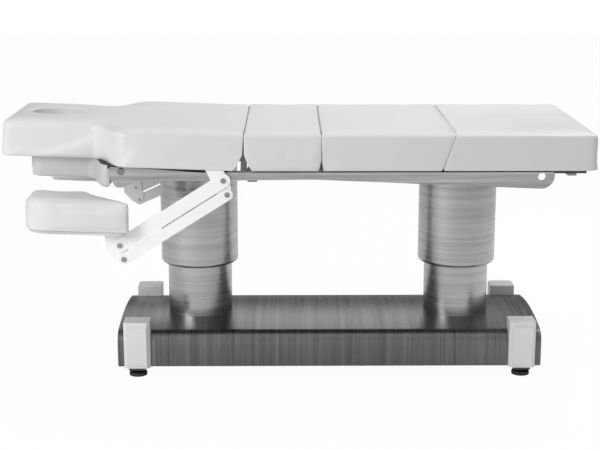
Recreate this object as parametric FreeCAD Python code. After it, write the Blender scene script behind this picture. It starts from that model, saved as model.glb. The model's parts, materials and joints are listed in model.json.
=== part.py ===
import FreeCAD, Part
import math
import os

V = FreeCAD.Vector

# Treatment bed on two lifting columns. X runs from the head end to the foot end, Z is up,
# the floor is Z = 0 and the photographed long side faces -Y. All values are millimetres or degrees.

# Mattress
BED_LENGTH = 2050.0
BED_WIDTH = 780.0
HEAD_WIDTH = 480.0
BACK_LENGTH = 840.0
SEAT_LENGTH = 265.0
LEG_LENGTH = 460.0
NECK_FROM_HEAD = 305.0
NECK_LENGTH = 136.0
HEAD_CORNER_R = 38.0
FOOT_CORNER_R = 42.0
MATTRESS_BOTTOM = 772.0
CUSHION_T = 127.0
EDGE_R = 14.0
SEAM_SLANT = 46.0
BACK_SEAM = 6.4
LEG_SEAM = 2.4
FOOT_SEAM = 2.0
NOTCH_HEAD_REACH = 34.0
NOTCH_SEAT_REACH = 29.0
NOTCH_HEIGHT = 56.0
KNEE_NOTCH_REACH = 11.0
KNEE_NOTCH_HEIGHT = 36.0
BACK_ANGLE = 2.0
BACK_RANGE = 62.0
LEG_RANGE = 30.0

# Face opening
FACE_LENGTH = 190.0
FACE_WIDTH = 140.0
FACE_FROM_HEAD = 151.0
FACE_RING_WALL = 3.0

# Boards and section frames
BOARD_T = 12.0
BOARD_INSET = 30.0
BOARD_GAP = 0.3
BOARD_END_GAP = 16.0
SECTION_BAR_W = 30.0
SECTION_BAR_T = 12.0
SOFT_GAP = 0.4
RUN_GAP = 0.6

# Under shell
SHELL_DEPTH = 77.0
SHELL_WALL = 4.0
SHELL_HEAD_GAP = 84.0
SHELL_SIDE_GAP = 50.0
SHELL_RAIL_GAP = 16.0
SHELL_EDGE_R = 9.0
SHELL_NECK_FROM_HEAD = 284.0
SHELL_NECK_LENGTH = 90.0

# Top frame
RAIL_INSET = 18.0
RAIL_T = 6.0
RAIL_TOP_DROP = 6.0
RAIL_MID_DROP = 31.0
RAIL_FOOT_DROP = 66.0
RAIL_LOBE_DROP = 57.0
RAIL_END_R = 46.0
RAIL_HOLE_R = 13.0
RAIL_HOLE_IN = 44.0
CROSSBAR_W = 30.0
COLUMN_BAR_W = 64.0
CROSSBAR_H = 20.0
BEAM_W = 20.0
BEAM_H = 20.0
BEAM_Y = 180.0

# Base and columns
BASE_X = 119.0
BASE_SHORTER = 520.0
BASE_WIDTH = 520.0
COVER_CROWN = 180.0
CROWN_R = 1290.0
SHOULDER_R = 45.0
COVER_BOTTOM = 32.0
COVER_WALL = 3.0
COLUMN_END_GAP = 285.0
LOWER_R = 118.5
UPPER_R = 142.5
TUBE_WALL = 4.0
LOWER_TOP = 515.0
UPPER_BOTTOM = 365.0
UPPER_RIM_R = 12.0
WIPER_H = 10.0
WIPER_GAP = 0.4
HEAD_PLATE_T = 5.0
GUIDE_OUTER = 130.0
GUIDE_WALL = 5.0
GUIDE_GAP = 0.4
GUIDE_TOP = 480.0
GUIDE_INNER_BOTTOM = 256.0
CHASSIS_H = 40.0
CHASSIS_W = 60.0
CHASSIS_Y = 140.0
FLOOR_PLATE_T = 10.0
FLOOR_PLATE = 250.0
FOOT_PLATE_T = 8.0
FOOT_PLATE_HALF = 30.0
CONTROL_L = 200.0
CONTROL_W = 180.0
CONTROL_H = 55.0
CONTROL_CORNER_R = 6.0
INLET_W = 48.0
INLET_H = 28.0
INLET_DEPTH = 30.0
INLET_WALL = 5.0
INLET_HEIGHT = 62.0

# Corner housings and feet
HOUSING_W = 95.0
HOUSING_END_GAP = 24.0
HOUSING_PROUD = 25.0
HOUSING_REACH = 55.0
HOUSING_TOP = 203.0
HOUSING_BEVEL = 11.0
PLATE_T = 5.0
PLATE_TOP = 185.0
PLATE_BOTTOM = 44.0
FOOT_PAD_R = 32.0
FOOT_PAD_H = 12.0
FOOT_STEM_R = 8.0

# Armrests
LINK_LENGTH = 424.9
LINK_ANGLES = {-1: 34.3, 1: 26.6}
PIVOT_STEP_X = 14.7
PIVOT_STEP_Z = 48.5
ARM_PIVOT_FROM_BACK = 65.0
ARM_PIVOT_DROP = 34.4
UPPER_LINK_W = 48.0
LOWER_LINK_W = 39.0
ARM_PLATE_T = 5.0
ARM_PLATE_GAP = 3.0
LINK_GAP = 0.5
ARM_BOLT_R = 6.0
ARM_BOLT_HEAD_R = 9.0
ARM_BOLT_HEAD_H = 3.0
PIN_GAP = 0.05
FLANGE_T = 3.0
FLANGE_REACH = 60.0
ARM_CUSHION_T = 106.0
ARM_CUSHION_LENGTH = 376.0
ARM_CUSHION_W = 190.0
ARM_CUSHION_OUT = 50.0
ARM_CUSHION_TO_PIVOT = 50.0
ARM_CUSHION_LIFT = 55.0
ARM_CUSHION_SLANT = 180.0
ARM_BOARD_T = 10.0
ARM_BOARD_INSET = 10.0
ARM_FLANGE_INSET = 24.0

# Hinges and drives
HINGE_Y = 300.0
HINGE_T = 6.0
HINGE_GAP = 0.6
EYE_R = 9.0
HINGE_PIN_R = 4.0
POCKET_HALF = 12.0
POCKET_SKIN = 2.5
HINGE_FOOT = 46.0
KNUCKLE_R = 6.0
KNUCKLE_L = 40.0
DRIVE_DROP = 42.0
DRIVE_R = 20.0
DRIVE_ROD_R = 9.0
DRIVE_ROD_GAP = 0.3
BACK_DRIVE_Y = 215.0
LEG_DRIVE_Y = -145.0
BACK_DRIVE_L = 330.0
LEG_DRIVE_L = 218.0
DRIVE_PIN_R = 5.0
LEVER_T = 8.0
FORK_T = 6.0
FORK_GAP = 1.0
BACK_PLAY = 2.9
LEG_PLAY = 0.9
CLAMP_W = 34.0

# Places worked out from the sizes above
HALF_W = BED_WIDTH / 2
BASE_LENGTH = BED_LENGTH - BASE_SHORTER
COLUMN_SPACING = BASE_LENGTH - 2 * COLUMN_END_GAP
FOOT_X = BED_LENGTH / 2
BACK_X = (BACK_LENGTH * math.cos(math.radians(BACK_ANGLE))
          + (CUSHION_T - EDGE_R) * math.sin(math.radians(BACK_ANGLE)) - BED_LENGTH / 2)
HEAD_X = BACK_X - BACK_LENGTH
LEG_X = BACK_X + SEAT_LENGTH
KNEE_X = LEG_X + LEG_LENGTH
KNEE_LOW_X = KNEE_X - SEAM_SLANT
MATTRESS_TOP = MATTRESS_BOTTOM + CUSHION_T
HINGE_Z = MATTRESS_TOP - EDGE_R
BOARD_TOP = MATTRESS_BOTTOM - SOFT_GAP
BOARD_BOTTOM = BOARD_TOP - BOARD_T
SECTION_BOTTOM = BOARD_BOTTOM - SECTION_BAR_T
CROSSBAR_TOP = SECTION_BOTTOM - RUN_GAP
CROSSBAR_BOTTOM = CROSSBAR_TOP - CROSSBAR_H
BEAM_BOTTOM = CROSSBAR_BOTTOM - BEAM_H
COLUMN_TOP = CROSSBAR_BOTTOM - HEAD_PLATE_T
BOARD_Y = HALF_W - BOARD_INSET
RAIL_OUT = HALF_W - RAIL_INSET
RAIL_IN = RAIL_OUT - RAIL_T
RAIL_HEAD_X = BASE_X - BASE_LENGTH / 2
RAIL_FOOT_X = BASE_X + BASE_LENGTH / 2
COLUMN_XS = {"head": BASE_X - COLUMN_SPACING / 2, "foot": BASE_X + COLUMN_SPACING / 2}
DRIVE_Z = BOARD_BOTTOM - DRIVE_DROP
LEVER_H = HINGE_Z - DRIVE_Z
FLOOR_PLATE_TOP = COVER_BOTTOM + CHASSIS_H + FLOOR_PLATE_T
SIDES = {"near": -1, "far": 1}
BACK_TURN = (V(BACK_X, 0, HINGE_Z), BACK_ANGLE)
FACE_X = HEAD_X + FACE_FROM_HEAD
CUSHION_NECK = (HEAD_X + NECK_FROM_HEAD, HEAD_X + NECK_FROM_HEAD + NECK_LENGTH)
SHELL_NECK = (HEAD_X + SHELL_NECK_FROM_HEAD, HEAD_X + SHELL_NECK_FROM_HEAD + SHELL_NECK_LENGTH)
SHELL_END_X = RAIL_HEAD_X + 8.0
SHELL_LOW = BOARD_TOP - SHELL_DEPTH


def box(x0, x1, y0, y1, z0, z1):
    return Part.makeBox(x1 - x0, y1 - y0, z1 - z0, V(x0, y0, z0))


def rod_z(x, y, z0, z1, r):
    return Part.makeCylinder(r, z1 - z0, V(x, y, z0))


def rod_y(x, z, y0, y1, r):
    return Part.makeCylinder(r, y1 - y0, V(x, y0, z), V(0, 1, 0))


def rod_x(x0, x1, y, z, r):
    return Part.makeCylinder(r, x1 - x0, V(x0, y, z), V(1, 0, 0))


def rounded_face(points):
    """A face from (point, corner radius) pairs: straight edges joined by tangent arcs."""
    edges = []
    count = len(points)
    ends = []
    for i in range(count):
        p, r = points[i]
        a = (points[i - 1][0] - p).normalize()
        b = (points[(i + 1) % count][0] - p).normalize()
        if r <= 0:
            ends.append((p, p))
            continue
        half = a.getAngle(b) / 2
        cut = r / math.tan(half)
        start = p + a * cut
        end = p + b * cut
        middle = p + (a + b).normalize() * (r / math.sin(half) - r)
        edges.append(Part.Arc(start, middle, end).toShape())
        ends.append((start, end))
    for i in range(count):
        start = ends[i][1]
        end = ends[(i + 1) % count][0]
        if start.distanceToPoint(end) > 1e-6:
            edges.append(Part.LineSegment(start, end).toShape())
    return Part.Face(Part.Wire(Part.__sortEdges__(edges)))


def plate_y(points, y0, y1):
    """Extrudes an outline of (x, z, radius) from y0 to y1."""
    face = rounded_face([(V(x, y0, z), r) for x, z, r in points])
    return face.extrude(V(0, y1 - y0, 0))


def plate_z(points, z0, z1):
    """Extrudes an outline of (x, y, radius) from z0 to z1."""
    face = rounded_face([(V(x, y, z0), r) for x, y, r in points])
    return face.extrude(V(0, 0, z1 - z0))


def plate_x(points, x0, x1):
    """Extrudes an outline of (y, z, radius) from x0 to x1."""
    face = rounded_face([(V(x0, y, z), r) for y, z, r in points])
    return face.extrude(V(x1 - x0, 0, 0))


def between(side, inner, outer):
    """The y limits of a layer that lies from inner to outer on the near or far side."""
    return tuple(sorted((side * inner, side * outer)))


def fillet_where(shape, radius, test):
    edges = [e for e in shape.Edges if test(e)]
    return shape.makeFillet(radius, edges) if edges else shape


def at_height(z):
    return lambda e: all(abs(v.Z - z) < 1e-4 for v in e.Vertexes)


def upright(e):
    a, b = e.Vertexes[0], e.Vertexes[-1]
    return abs(a.X - b.X) < 1e-4 and abs(a.Y - b.Y) < 1e-4 and abs(a.Z - b.Z) > 1


def group(solids):
    return solids[0] if len(solids) == 1 else Part.makeCompound(solids)


def fused(solids):
    shape = solids[0].fuse(solids[1:]) if len(solids) > 1 else solids[0]
    return shape.removeSplitter()


def turned(shape, turn=BACK_TURN):
    """The shape turned head side up about the back hinge."""
    centre, angle = turn
    result = shape.copy()
    result.rotate(centre, V(0, 1, 0), angle)
    return result


def save(name, shape):
    for solid in shape.Solids:
        assert solid.isValid(), name
    shape.exportStep("parts/" + name + ".step")


# Mattress

def head_outline(neck, x_end, wide_y, head_y, head_gap, z):
    """The narrow head, the neck curve and the wide back, seen from above, as one face."""
    x_head = HEAD_X + head_gap
    neck0, neck1 = neck
    mid = (neck0 + neck1) / 2
    r = HEAD_CORNER_R

    def pt(x, y):
        return V(x, y, z)

    def neck_edge(side):
        curve = Part.BezierCurve()
        curve.setPoles([pt(neck0, side * head_y), pt(mid, side * head_y),
                        pt(mid, side * wide_y), pt(neck1, side * wide_y)])
        return curve.toShape()

    def corner(side):
        k = r * (1 - math.sqrt(0.5))
        arc = Part.Arc(pt(x_head, side * (head_y - r)), pt(x_head + k, side * (head_y - k)),
                       pt(x_head + r, side * head_y))
        return arc.toShape()

    edges = [Part.LineSegment(pt(x_head, r - head_y), pt(x_head, head_y - r)).toShape(),
             Part.LineSegment(pt(x_end, -wide_y), pt(x_end, wide_y)).toShape()]
    for side in (-1, 1):
        edges.append(corner(side))
        edges.append(neck_edge(side))
        edges.append(Part.LineSegment(pt(x_head + r, side * head_y), pt(neck0, side * head_y)).toShape())
        edges.append(Part.LineSegment(pt(neck1, side * wide_y), pt(x_end, side * wide_y)).toShape())
    return Part.Face(Part.Wire(Part.__sortEdges__(edges)))


def face_tool(grow, z0, z1):
    ellipse = Part.Ellipse(V(FACE_X, 0, z0), FACE_LENGTH / 2 + grow, FACE_WIDTH / 2 + grow)
    return Part.Face(Part.Wire([ellipse.toShape()])).extrude(V(0, 0, z1 - z0))


def hinge_pocket(x):
    """The room that the two hinge eyes need inside the cushions at a seam."""
    solids = []
    for side in SIDES.values():
        y0, y1 = between(side, HINGE_Y - 3 * HINGE_GAP, HINGE_Y + 2 * HINGE_T + 4 * HINGE_GAP)
        z0, z1 = MATTRESS_BOTTOM - 1, MATTRESS_TOP - POCKET_SKIN
        solids.append(box(x - POCKET_HALF, x + POCKET_HALF, y0, y1, z0, z1))
    return solids


def notch(x_seam, reach, height, side):
    """The wedge taken from the lower corner of a cushion beside a seam."""
    low = MATTRESS_BOTTOM - 1
    points = [(x_seam, low, 0), (x_seam + side * reach, low, 0),
              (x_seam + side * reach * 0.55, low + height * 0.35, 0), (x_seam, low + height, 0)]
    return plate_y(points, -HALF_W - 1, HALF_W + 1)


def back_cushion():
    end = BACK_X - BACK_SEAM / 2
    face = head_outline(CUSHION_NECK, end, HALF_W, HEAD_WIDTH / 2, 0, MATTRESS_BOTTOM)
    pad = face.extrude(V(0, 0, CUSHION_T))
    pad = fillet_where(pad, EDGE_R, at_height(MATTRESS_TOP))
    pad = pad.cut(face_tool(0, MATTRESS_BOTTOM - 1, MATTRESS_TOP + 1))
    pad = pad.cut(notch(end, NOTCH_HEAD_REACH, NOTCH_HEIGHT, -1))
    return turned(pad.cut(hinge_pocket(BACK_X)))


def seat_cushion():
    x0 = BACK_X + BACK_SEAM / 2
    x1 = LEG_X - LEG_SEAM / 2
    pad = box(x0, x1, -HALF_W, HALF_W, MATTRESS_BOTTOM, MATTRESS_TOP)
    pad = fillet_where(pad, EDGE_R, at_height(MATTRESS_TOP))
    pad = pad.cut(notch(x0, NOTCH_SEAT_REACH, NOTCH_HEIGHT, 1))
    pad = pad.cut(notch(x1, KNEE_NOTCH_REACH, KNEE_NOTCH_HEIGHT, -1))
    return pad.cut(hinge_pocket(BACK_X) + hinge_pocket(LEG_X))


def leg_cushion():
    x0 = LEG_X + LEG_SEAM / 2
    gap = FOOT_SEAM / 2
    points = [(x0, MATTRESS_BOTTOM, 0), (KNEE_LOW_X - gap, MATTRESS_BOTTOM, 0),
              (KNEE_X - gap, MATTRESS_TOP, 0), (x0, MATTRESS_TOP, 0)]
    pad = plate_y(points, -HALF_W, HALF_W)
    pad = fillet_where(pad, EDGE_R, at_height(MATTRESS_TOP))
    pad = pad.cut(notch(x0, KNEE_NOTCH_REACH, KNEE_NOTCH_HEIGHT, 1))
    return pad.cut(hinge_pocket(LEG_X))


def foot_cushion():
    gap = FOOT_SEAM / 2
    points = [(KNEE_LOW_X + gap, MATTRESS_BOTTOM, 0), (FOOT_X, MATTRESS_BOTTOM, 0),
              (FOOT_X, MATTRESS_TOP, 0), (KNEE_X + gap, MATTRESS_TOP, 0)]
    pad = plate_y(points, -HALF_W, HALF_W)
    pad = fillet_where(pad, FOOT_CORNER_R, lambda e: upright(e) and e.Vertexes[0].X > FOOT_X - 1)
    return fillet_where(pad, EDGE_R, at_height(MATTRESS_TOP))


# Boards, section frames and the under shell

def flange_box(side, grow):
    y0, y1 = between(side, RAIL_OUT + ARM_PLATE_GAP - FLANGE_REACH, RAIL_OUT + ARM_PLATE_GAP + ARM_PLATE_T)
    x1 = BACK_X - ARM_PIVOT_FROM_BACK + 1
    return box(x1 - 62 - grow, x1 + grow, y0 - grow, y1 + grow, BOARD_TOP - FLANGE_T, BOARD_TOP + grow)


def shell_neck(inset):
    """The neck moves towards the wide end with the inset, so that the wall keeps its thickness there."""
    return SHELL_NECK[0] + 2 * inset, SHELL_NECK[1] + inset / 2


def level_back_board():
    """The board closes the under shell at the head and follows its inner face."""
    inset = SHELL_WALL + BOARD_GAP
    end = BACK_X - NOTCH_HEAD_REACH - BOARD_END_GAP
    face = head_outline(shell_neck(inset), end, RAIL_IN - SHELL_RAIL_GAP - inset,
                        HEAD_WIDTH / 2 - SHELL_SIDE_GAP - inset, SHELL_HEAD_GAP + inset, BOARD_BOTTOM)
    return face.extrude(V(0, 0, BOARD_T))


def back_board():
    panel = level_back_board().cut(face_tool(FACE_RING_WALL, BOARD_BOTTOM - 1, BOARD_TOP + 1))
    return turned(panel.cut([flange_box(side, 0) for side in SIDES.values()]))


def board(x0, x1):
    return box(x0, x1, -BOARD_Y, BOARD_Y, BOARD_BOTTOM, BOARD_TOP)


def seat_board():
    return board(BACK_X + NOTCH_SEAT_REACH, LEG_X - KNEE_NOTCH_REACH)


def leg_board():
    return board(LEG_X + KNEE_NOTCH_REACH, KNEE_LOW_X - KNUCKLE_R - RUN_GAP)


def foot_board():
    return board(KNEE_LOW_X + KNUCKLE_R + RUN_GAP, FOOT_X - BOARD_INSET)


def section_frame(x0, x1, y_bar, y_cross, cross_xs):
    """Two bars along the section and cross bars, as one welded frame under its board."""
    solids = []
    for side in SIDES.values():
        y0, y1 = between(side, y_bar - SECTION_BAR_W / 2, y_bar + SECTION_BAR_W / 2)
        solids.append(box(x0, x1, y0, y1, SECTION_BOTTOM, BOARD_BOTTOM))
    for x in cross_xs:
        solids.append(box(x, x + SECTION_BAR_W, -y_cross, y_cross, SECTION_BOTTOM, BOARD_BOTTOM))
    return fused(solids)


BACK_BAR_Y = FACE_WIDTH / 2 + FACE_RING_WALL + SECTION_BAR_W
BACK_BAR_END = BACK_X - NOTCH_HEAD_REACH - BOARD_END_GAP - 2
LEG_BAR_Y = HINGE_Y - 60


def level_back_frame():
    x_head = HEAD_X + SHELL_HEAD_GAP + 3 * SHELL_WALL + HEAD_CORNER_R
    return section_frame(x_head, BACK_BAR_END, BACK_BAR_Y, HINGE_Y + 40,
                         [BACK_BAR_END - SECTION_BAR_W, RAIL_HEAD_X + 2 * RAIL_HOLE_IN])


def back_frame():
    plates = hinge_plates(BACK_X, -1, 1, BACK_X - BACK_BAR_END + SECTION_BAR_W / 2)
    arm = lever(BACK_X, BACK_DRIVE_Y, BACK_SWING, BACK_PLAY, BACK_BAR_END - SECTION_BAR_W / 2)
    return fused([turned(level_back_frame()), arm] + [turned(plate) for plate in plates])


def leg_frame():
    x0 = LEG_X + KNEE_NOTCH_REACH + 2
    x1 = KNEE_LOW_X - KNUCKLE_R - 2
    frame = section_frame(x0, x1, LEG_BAR_Y, HINGE_Y + 40, [x0, x1 - SECTION_BAR_W])
    arm = lever(LEG_X, LEG_DRIVE_Y, LEG_SWING, LEG_PLAY, x0 + SECTION_BAR_W / 2)
    plates = hinge_plates(LEG_X, 1, 1, KNEE_NOTCH_REACH + 2 + SECTION_BAR_W / 2)
    return fused([frame, arm] + plates + knuckles(-1, 0, 3, KNUCKLE_R / 2))


def foot_frame():
    x0 = KNEE_LOW_X + KNUCKLE_R + 2
    x1 = FOOT_X - BOARD_INSET - 30
    frame = section_frame(x0, x1, LEG_BAR_Y, HINGE_Y + 40, [x0, x1 - SECTION_BAR_W])
    return fused([frame] + knuckles(1, 1, 2, KNUCKLE_R / 2 + PIN_GAP))


def shell_face(inset, z):
    return head_outline(shell_neck(inset), SHELL_END_X - inset, RAIL_IN - SHELL_RAIL_GAP - inset,
                        HEAD_WIDTH / 2 - SHELL_SIDE_GAP - inset, SHELL_HEAD_GAP + inset, z)


def under_shell():
    outer = shell_face(0, SHELL_LOW).extrude(V(0, 0, SHELL_DEPTH))
    outer = fillet_where(outer, SHELL_EDGE_R, at_height(SHELL_LOW))
    inner = shell_face(SHELL_WALL, SHELL_LOW + SHELL_WALL).extrude(V(0, 0, SHELL_DEPTH))
    shell = outer.cut(inner).cut(face_tool(FACE_RING_WALL, SHELL_LOW - 1, MATTRESS_BOTTOM))
    end = (SHELL_END_X - 2 * SHELL_WALL, SHELL_END_X + 1)
    wide = RAIL_IN - SHELL_RAIL_GAP
    cuts = [box(*end, -wide - 1, wide + 1, BOARD_BOTTOM - BOARD_GAP, MATTRESS_BOTTOM)]
    for side in SIDES.values():
        y0, y1 = between(side, BACK_BAR_Y - SECTION_BAR_W / 2 - 1, BACK_BAR_Y + SECTION_BAR_W / 2 + 1)
        cuts.append(box(*end, y0, y1, SECTION_BOTTOM - 1, BOARD_BOTTOM))
    return turned(shell.cut(cuts))


def face_ring():
    ring = face_tool(FACE_RING_WALL, SHELL_LOW, BOARD_TOP)
    return turned(ring.cut(face_tool(0, SHELL_LOW - 1, BOARD_TOP + 1)))


# Top frame

def rail(side):
    """Brushed side rail: deep at the foot end, a round lobe with a hole at the head end."""
    top = MATTRESS_BOTTOM - RAIL_TOP_DROP
    mid = MATTRESS_BOTTOM - RAIL_MID_DROP
    lobe = MATTRESS_BOTTOM - RAIL_LOBE_DROP
    rise = (BACK_X - RAIL_HEAD_X - RAIL_HOLE_IN) * math.tan(math.radians(BACK_ANGLE))
    lobe_top = BOARD_TOP + rise - 1.0
    x0 = RAIL_HEAD_X
    points = [(x0 + 6, lobe_top, 8), (x0, lobe_top - 26, 20), (x0 + 26, lobe, 14), (x0 + 48, lobe - 1, 22),
              (x0 + 92, mid - 6, 40), (BASE_X - 60, mid, 0),
              (RAIL_FOOT_X, MATTRESS_BOTTOM - RAIL_FOOT_DROP, RAIL_END_R),
              (RAIL_FOOT_X, top, 6), (x0 + 320, top, 0), (x0 + 84, lobe_top - 2, 10)]
    y0, y1 = between(side, RAIL_IN, RAIL_OUT)
    plate = plate_y(points, y0, y1)
    holes = [rod_y(x0 + RAIL_HOLE_IN + 2, lobe_top - RAIL_HOLE_R - 2.0, y0 - 1, y1 + 1, RAIL_HOLE_R),
             rod_y(RAIL_FOOT_X - RAIL_HOLE_IN, top - RAIL_HOLE_R - 3, y0 - 1, y1 + 1, RAIL_HOLE_R)]
    return plate.cut(holes)


def crossbar(x, width):
    """A bar from rail to rail whose ends taper, so that the rail hides them."""
    y = RAIL_IN
    z0, z1 = CROSSBAR_BOTTOM, CROSSBAR_TOP
    taper_y, taper_z = 40.0, CROSSBAR_H * 0.62
    points = [(-y, z1, 0), (-y, z0 + taper_z, 0), (taper_y - y, z0, 0), (y - taper_y, z0, 0),
              (y, z0 + taper_z, 0),
              (y, z1, 0)]
    return plate_x(points, x - width / 2, x + width / 2)


CROSSBAR_HEAD_X = RAIL_HEAD_X + RAIL_HOLE_IN + RAIL_HOLE_R + CROSSBAR_W / 2 + 6
CROSSBAR_FOOT_X = RAIL_FOOT_X - RAIL_HOLE_IN - RAIL_HOLE_R - CROSSBAR_W / 2 - 6
CROSSBAR_MID_X = LEG_X + 220.0


def frame_crossbars():
    bars = [crossbar(x, CROSSBAR_W) for x in (CROSSBAR_HEAD_X, CROSSBAR_MID_X, CROSSBAR_FOOT_X)]
    bars += [crossbar(x, COLUMN_BAR_W) for x in COLUMN_XS.values()]
    return group(bars)


def frame_beams():
    """Two long beams under the cross bars, each with the riser that carries the seat board."""
    x0 = CROSSBAR_HEAD_X - CROSSBAR_W / 2
    x1 = CROSSBAR_FOOT_X + CROSSBAR_W / 2
    beams = []
    for side in SIDES.values():
        y0, y1 = between(side, BEAM_Y - BEAM_W / 2, BEAM_Y + BEAM_W / 2)
        beam = box(x0, x1, y0, y1, BEAM_BOTTOM, CROSSBAR_BOTTOM)
        riser_x0 = BACK_X + NOTCH_SEAT_REACH + 6
        riser_x1 = LEG_X - KNEE_NOTCH_REACH - 6
        riser = box(riser_x0, riser_x1, y0, y1, CROSSBAR_BOTTOM, BOARD_BOTTOM)
        beams.append(fused([beam, riser]))
    return group(beams)


# Hinges. The axis lies one edge radius below the mattress top, so that the cushion ends roll on each other.

def hinge_plates(x, way, layer, reach):
    """One half of a hinge on both sides: an eye, an upright strap and a foot below the board."""
    solids = []
    foot_z = BOARD_BOTTOM - 10
    for side in SIDES.values():
        inner = HINGE_Y + layer * (HINGE_T + HINGE_GAP)
        y0, y1 = between(side, inner, inner + HINGE_T)
        eye = rod_y(x, HINGE_Z, y0, y1, EYE_R)
        strap = box(x - EYE_R, x + EYE_R, y0, y1, foot_z, HINGE_Z)
        a, b = sorted((x - way * EYE_R, x + way * reach))
        solid = fused([eye, strap, box(a, b, y0, y1, foot_z, BOARD_BOTTOM)])
        bore = HINGE_PIN_R + (PIN_GAP if layer else 0)
        solids.append(solid.cut(rod_y(x, HINGE_Z, y0 - 1, y1 + 1, bore)))
    return solids


def hinge_pins(x):
    solids = []
    for side in SIDES.values():
        y0, y1 = between(side, HINGE_Y, HINGE_Y + 2 * HINGE_T + HINGE_GAP)
        solids.append(rod_y(x, HINGE_Z, y0, y1, HINGE_PIN_R))
    return solids


KNUCKLE_Z = SECTION_BOTTOM + KNUCKLE_R


def knuckles(way, first, count, bore):
    """Hinge knuckles with their leaf at the leg and foot seam, below the boards."""
    solids = []
    for side in SIDES.values():
        for i in range(first, count, 2):
            inner = HINGE_Y - 60 + SECTION_BAR_W / 2 + 2 + i * (KNUCKLE_L / 2 + RUN_GAP)
            y0, y1 = between(side, inner, inner + KNUCKLE_L / 2)
            ring = rod_y(KNEE_LOW_X, KNUCKLE_Z, y0, y1, KNUCKLE_R)
            a, b = sorted((KNEE_LOW_X, KNEE_LOW_X + way * (KNUCKLE_R + 2)))
            solid = fused([ring, box(a, b, y0, y1, SECTION_BOTTOM, KNUCKLE_Z)])
            solids.append(solid.cut(rod_y(KNEE_LOW_X, KNUCKLE_Z, y0 - 1, y1 + 1, bore)))
    return solids


def knee_pins():
    solids = []
    for side in SIDES.values():
        inner = HINGE_Y - 60 + SECTION_BAR_W / 2 + 2
        y0, y1 = between(side, inner, inner + 3 * (KNUCKLE_L / 2 + RUN_GAP) - RUN_GAP)
        solids.append(rod_y(KNEE_LOW_X, KNUCKLE_Z, y0, y1, KNUCKLE_R / 2))
    return group(solids)


# Drives. A clamped linear actuator pushes a pin along X in the slot of a lever on the moving section.

def lever(x, y, swing, play, root_x):
    """A slotted lever. The slot runs along the line from the hinge axis through the pin at rest."""
    near = LEVER_H - DRIVE_PIN_R - 1.0
    far = LEVER_H / math.cos(swing) + DRIVE_PIN_R + 1.0
    half = DRIVE_PIN_R + play
    wall = 9.0
    y0, y1 = y - LEVER_T / 2, y + LEVER_T / 2
    arm = box(x - half - wall, x + half + wall, y0, y1, HINGE_Z - far - wall, HINGE_Z - near + wall)
    slot = box(x - half, x + half, y0 - 1, y1 + 1, HINGE_Z - far, HINGE_Z - near)
    way = 1 if root_x > x else -1
    arm.rotate(V(x, 0, HINGE_Z), V(0, 1, 0), way * math.degrees(swing))
    slot.rotate(V(x, 0, HINGE_Z), V(0, 1, 0), way * math.degrees(swing))
    pin_x = x - way * LEVER_H * math.tan(swing)
    a, b = sorted((pin_x, root_x))
    web = box(a, b, y0, y1, BOARD_BOTTOM - 13, BOARD_BOTTOM - RUN_GAP)
    above = box(x - LEVER_H, x + LEVER_H, y0 - 1, y1 + 1, BOARD_BOTTOM - RUN_GAP, HINGE_Z)
    return fused([arm.cut(above), web]).cut(slot)


def travel(swing):
    """Pin travel for each radian of the hinge, the constant ratio that keeps nearest to the slot."""
    return LEVER_H * (1 + swing * swing / 4 + swing ** 4 / 15)


def pin_place(x, way, swing):
    return x + way * travel(swing) * swing


def drive_rod(pin_x, rear_x, y):
    """Rod, fork and cross pin of an actuator."""
    way = 1 if pin_x > rear_x else -1
    half = LEVER_T / 2 + FORK_GAP
    neck = pin_x - way * 30
    a, b = sorted((rear_x + way * 42, neck))
    rod = rod_x(a, b, y, DRIVE_Z, DRIVE_ROD_R)
    parts = [rod]
    for side in (-1, 1):
        y0, y1 = sorted((y + side * half, y + side * (half + FORK_T)))
        c, d = sorted((neck, pin_x))
        parts.append(box(c, d, y0, y1, DRIVE_Z - 9, DRIVE_Z + 9))
        parts.append(rod_y(pin_x, DRIVE_Z, y0, y1, 9))
    c, d = sorted((neck - way * 8, neck))
    parts.append(box(c, d, y - half - FORK_T, y + half + FORK_T, DRIVE_Z - 9, DRIVE_Z + 9))
    parts.append(rod_y(pin_x, DRIVE_Z, y - half - FORK_T, y + half + FORK_T, DRIVE_PIN_R))
    return fused(parts)


def drive_body(pin_x, rear_x, y, stroke):
    way = 1 if pin_x > rear_x else -1
    front = rear_x + way * (42 + stroke + 8)
    a, b = sorted((rear_x, front))
    body = rod_x(a, b, y, DRIVE_Z, DRIVE_R)
    c, d = sorted((rear_x + way * 36, front + way))
    return body.cut(rod_x(c, d, y, DRIVE_Z, DRIVE_ROD_R + DRIVE_ROD_GAP))


BACK_SWING = math.radians(BACK_RANGE / 2)
LEG_SWING = math.radians(LEG_RANGE / 2)
BACK_PIN_X = pin_place(BACK_X, 1, BACK_SWING)
LEG_PIN_X = pin_place(LEG_X, -1, LEG_SWING)
BACK_REAR_X = BACK_PIN_X + BACK_DRIVE_L
LEG_REAR_X = LEG_PIN_X - LEG_DRIVE_L


def drive_clamps():
    solids = []
    half = BEAM_W / 2
    for rear, y, way, side in ((BACK_REAR_X, BACK_DRIVE_Y, -1, 1), (LEG_REAR_X, LEG_DRIVE_Y, 1, -1)):
        beam_face = side * BEAM_Y + (half if abs(y) > BEAM_Y else -half) * side
        away = y + (y - beam_face) / abs(y - beam_face) * (DRIVE_R + 5)
        y0, y1 = sorted((beam_face, away))
        x0, x1 = sorted((rear + way * 4, rear + way * (4 + CLAMP_W)))
        block = box(x0, x1, y0, y1, DRIVE_Z - DRIVE_R - 4, DRIVE_Z + DRIVE_R + 4)
        solids.append(block.cut(rod_x(x0 - 1, x1 + 1, y, DRIVE_Z, DRIVE_R)))
    return group(solids)


# Base

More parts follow.
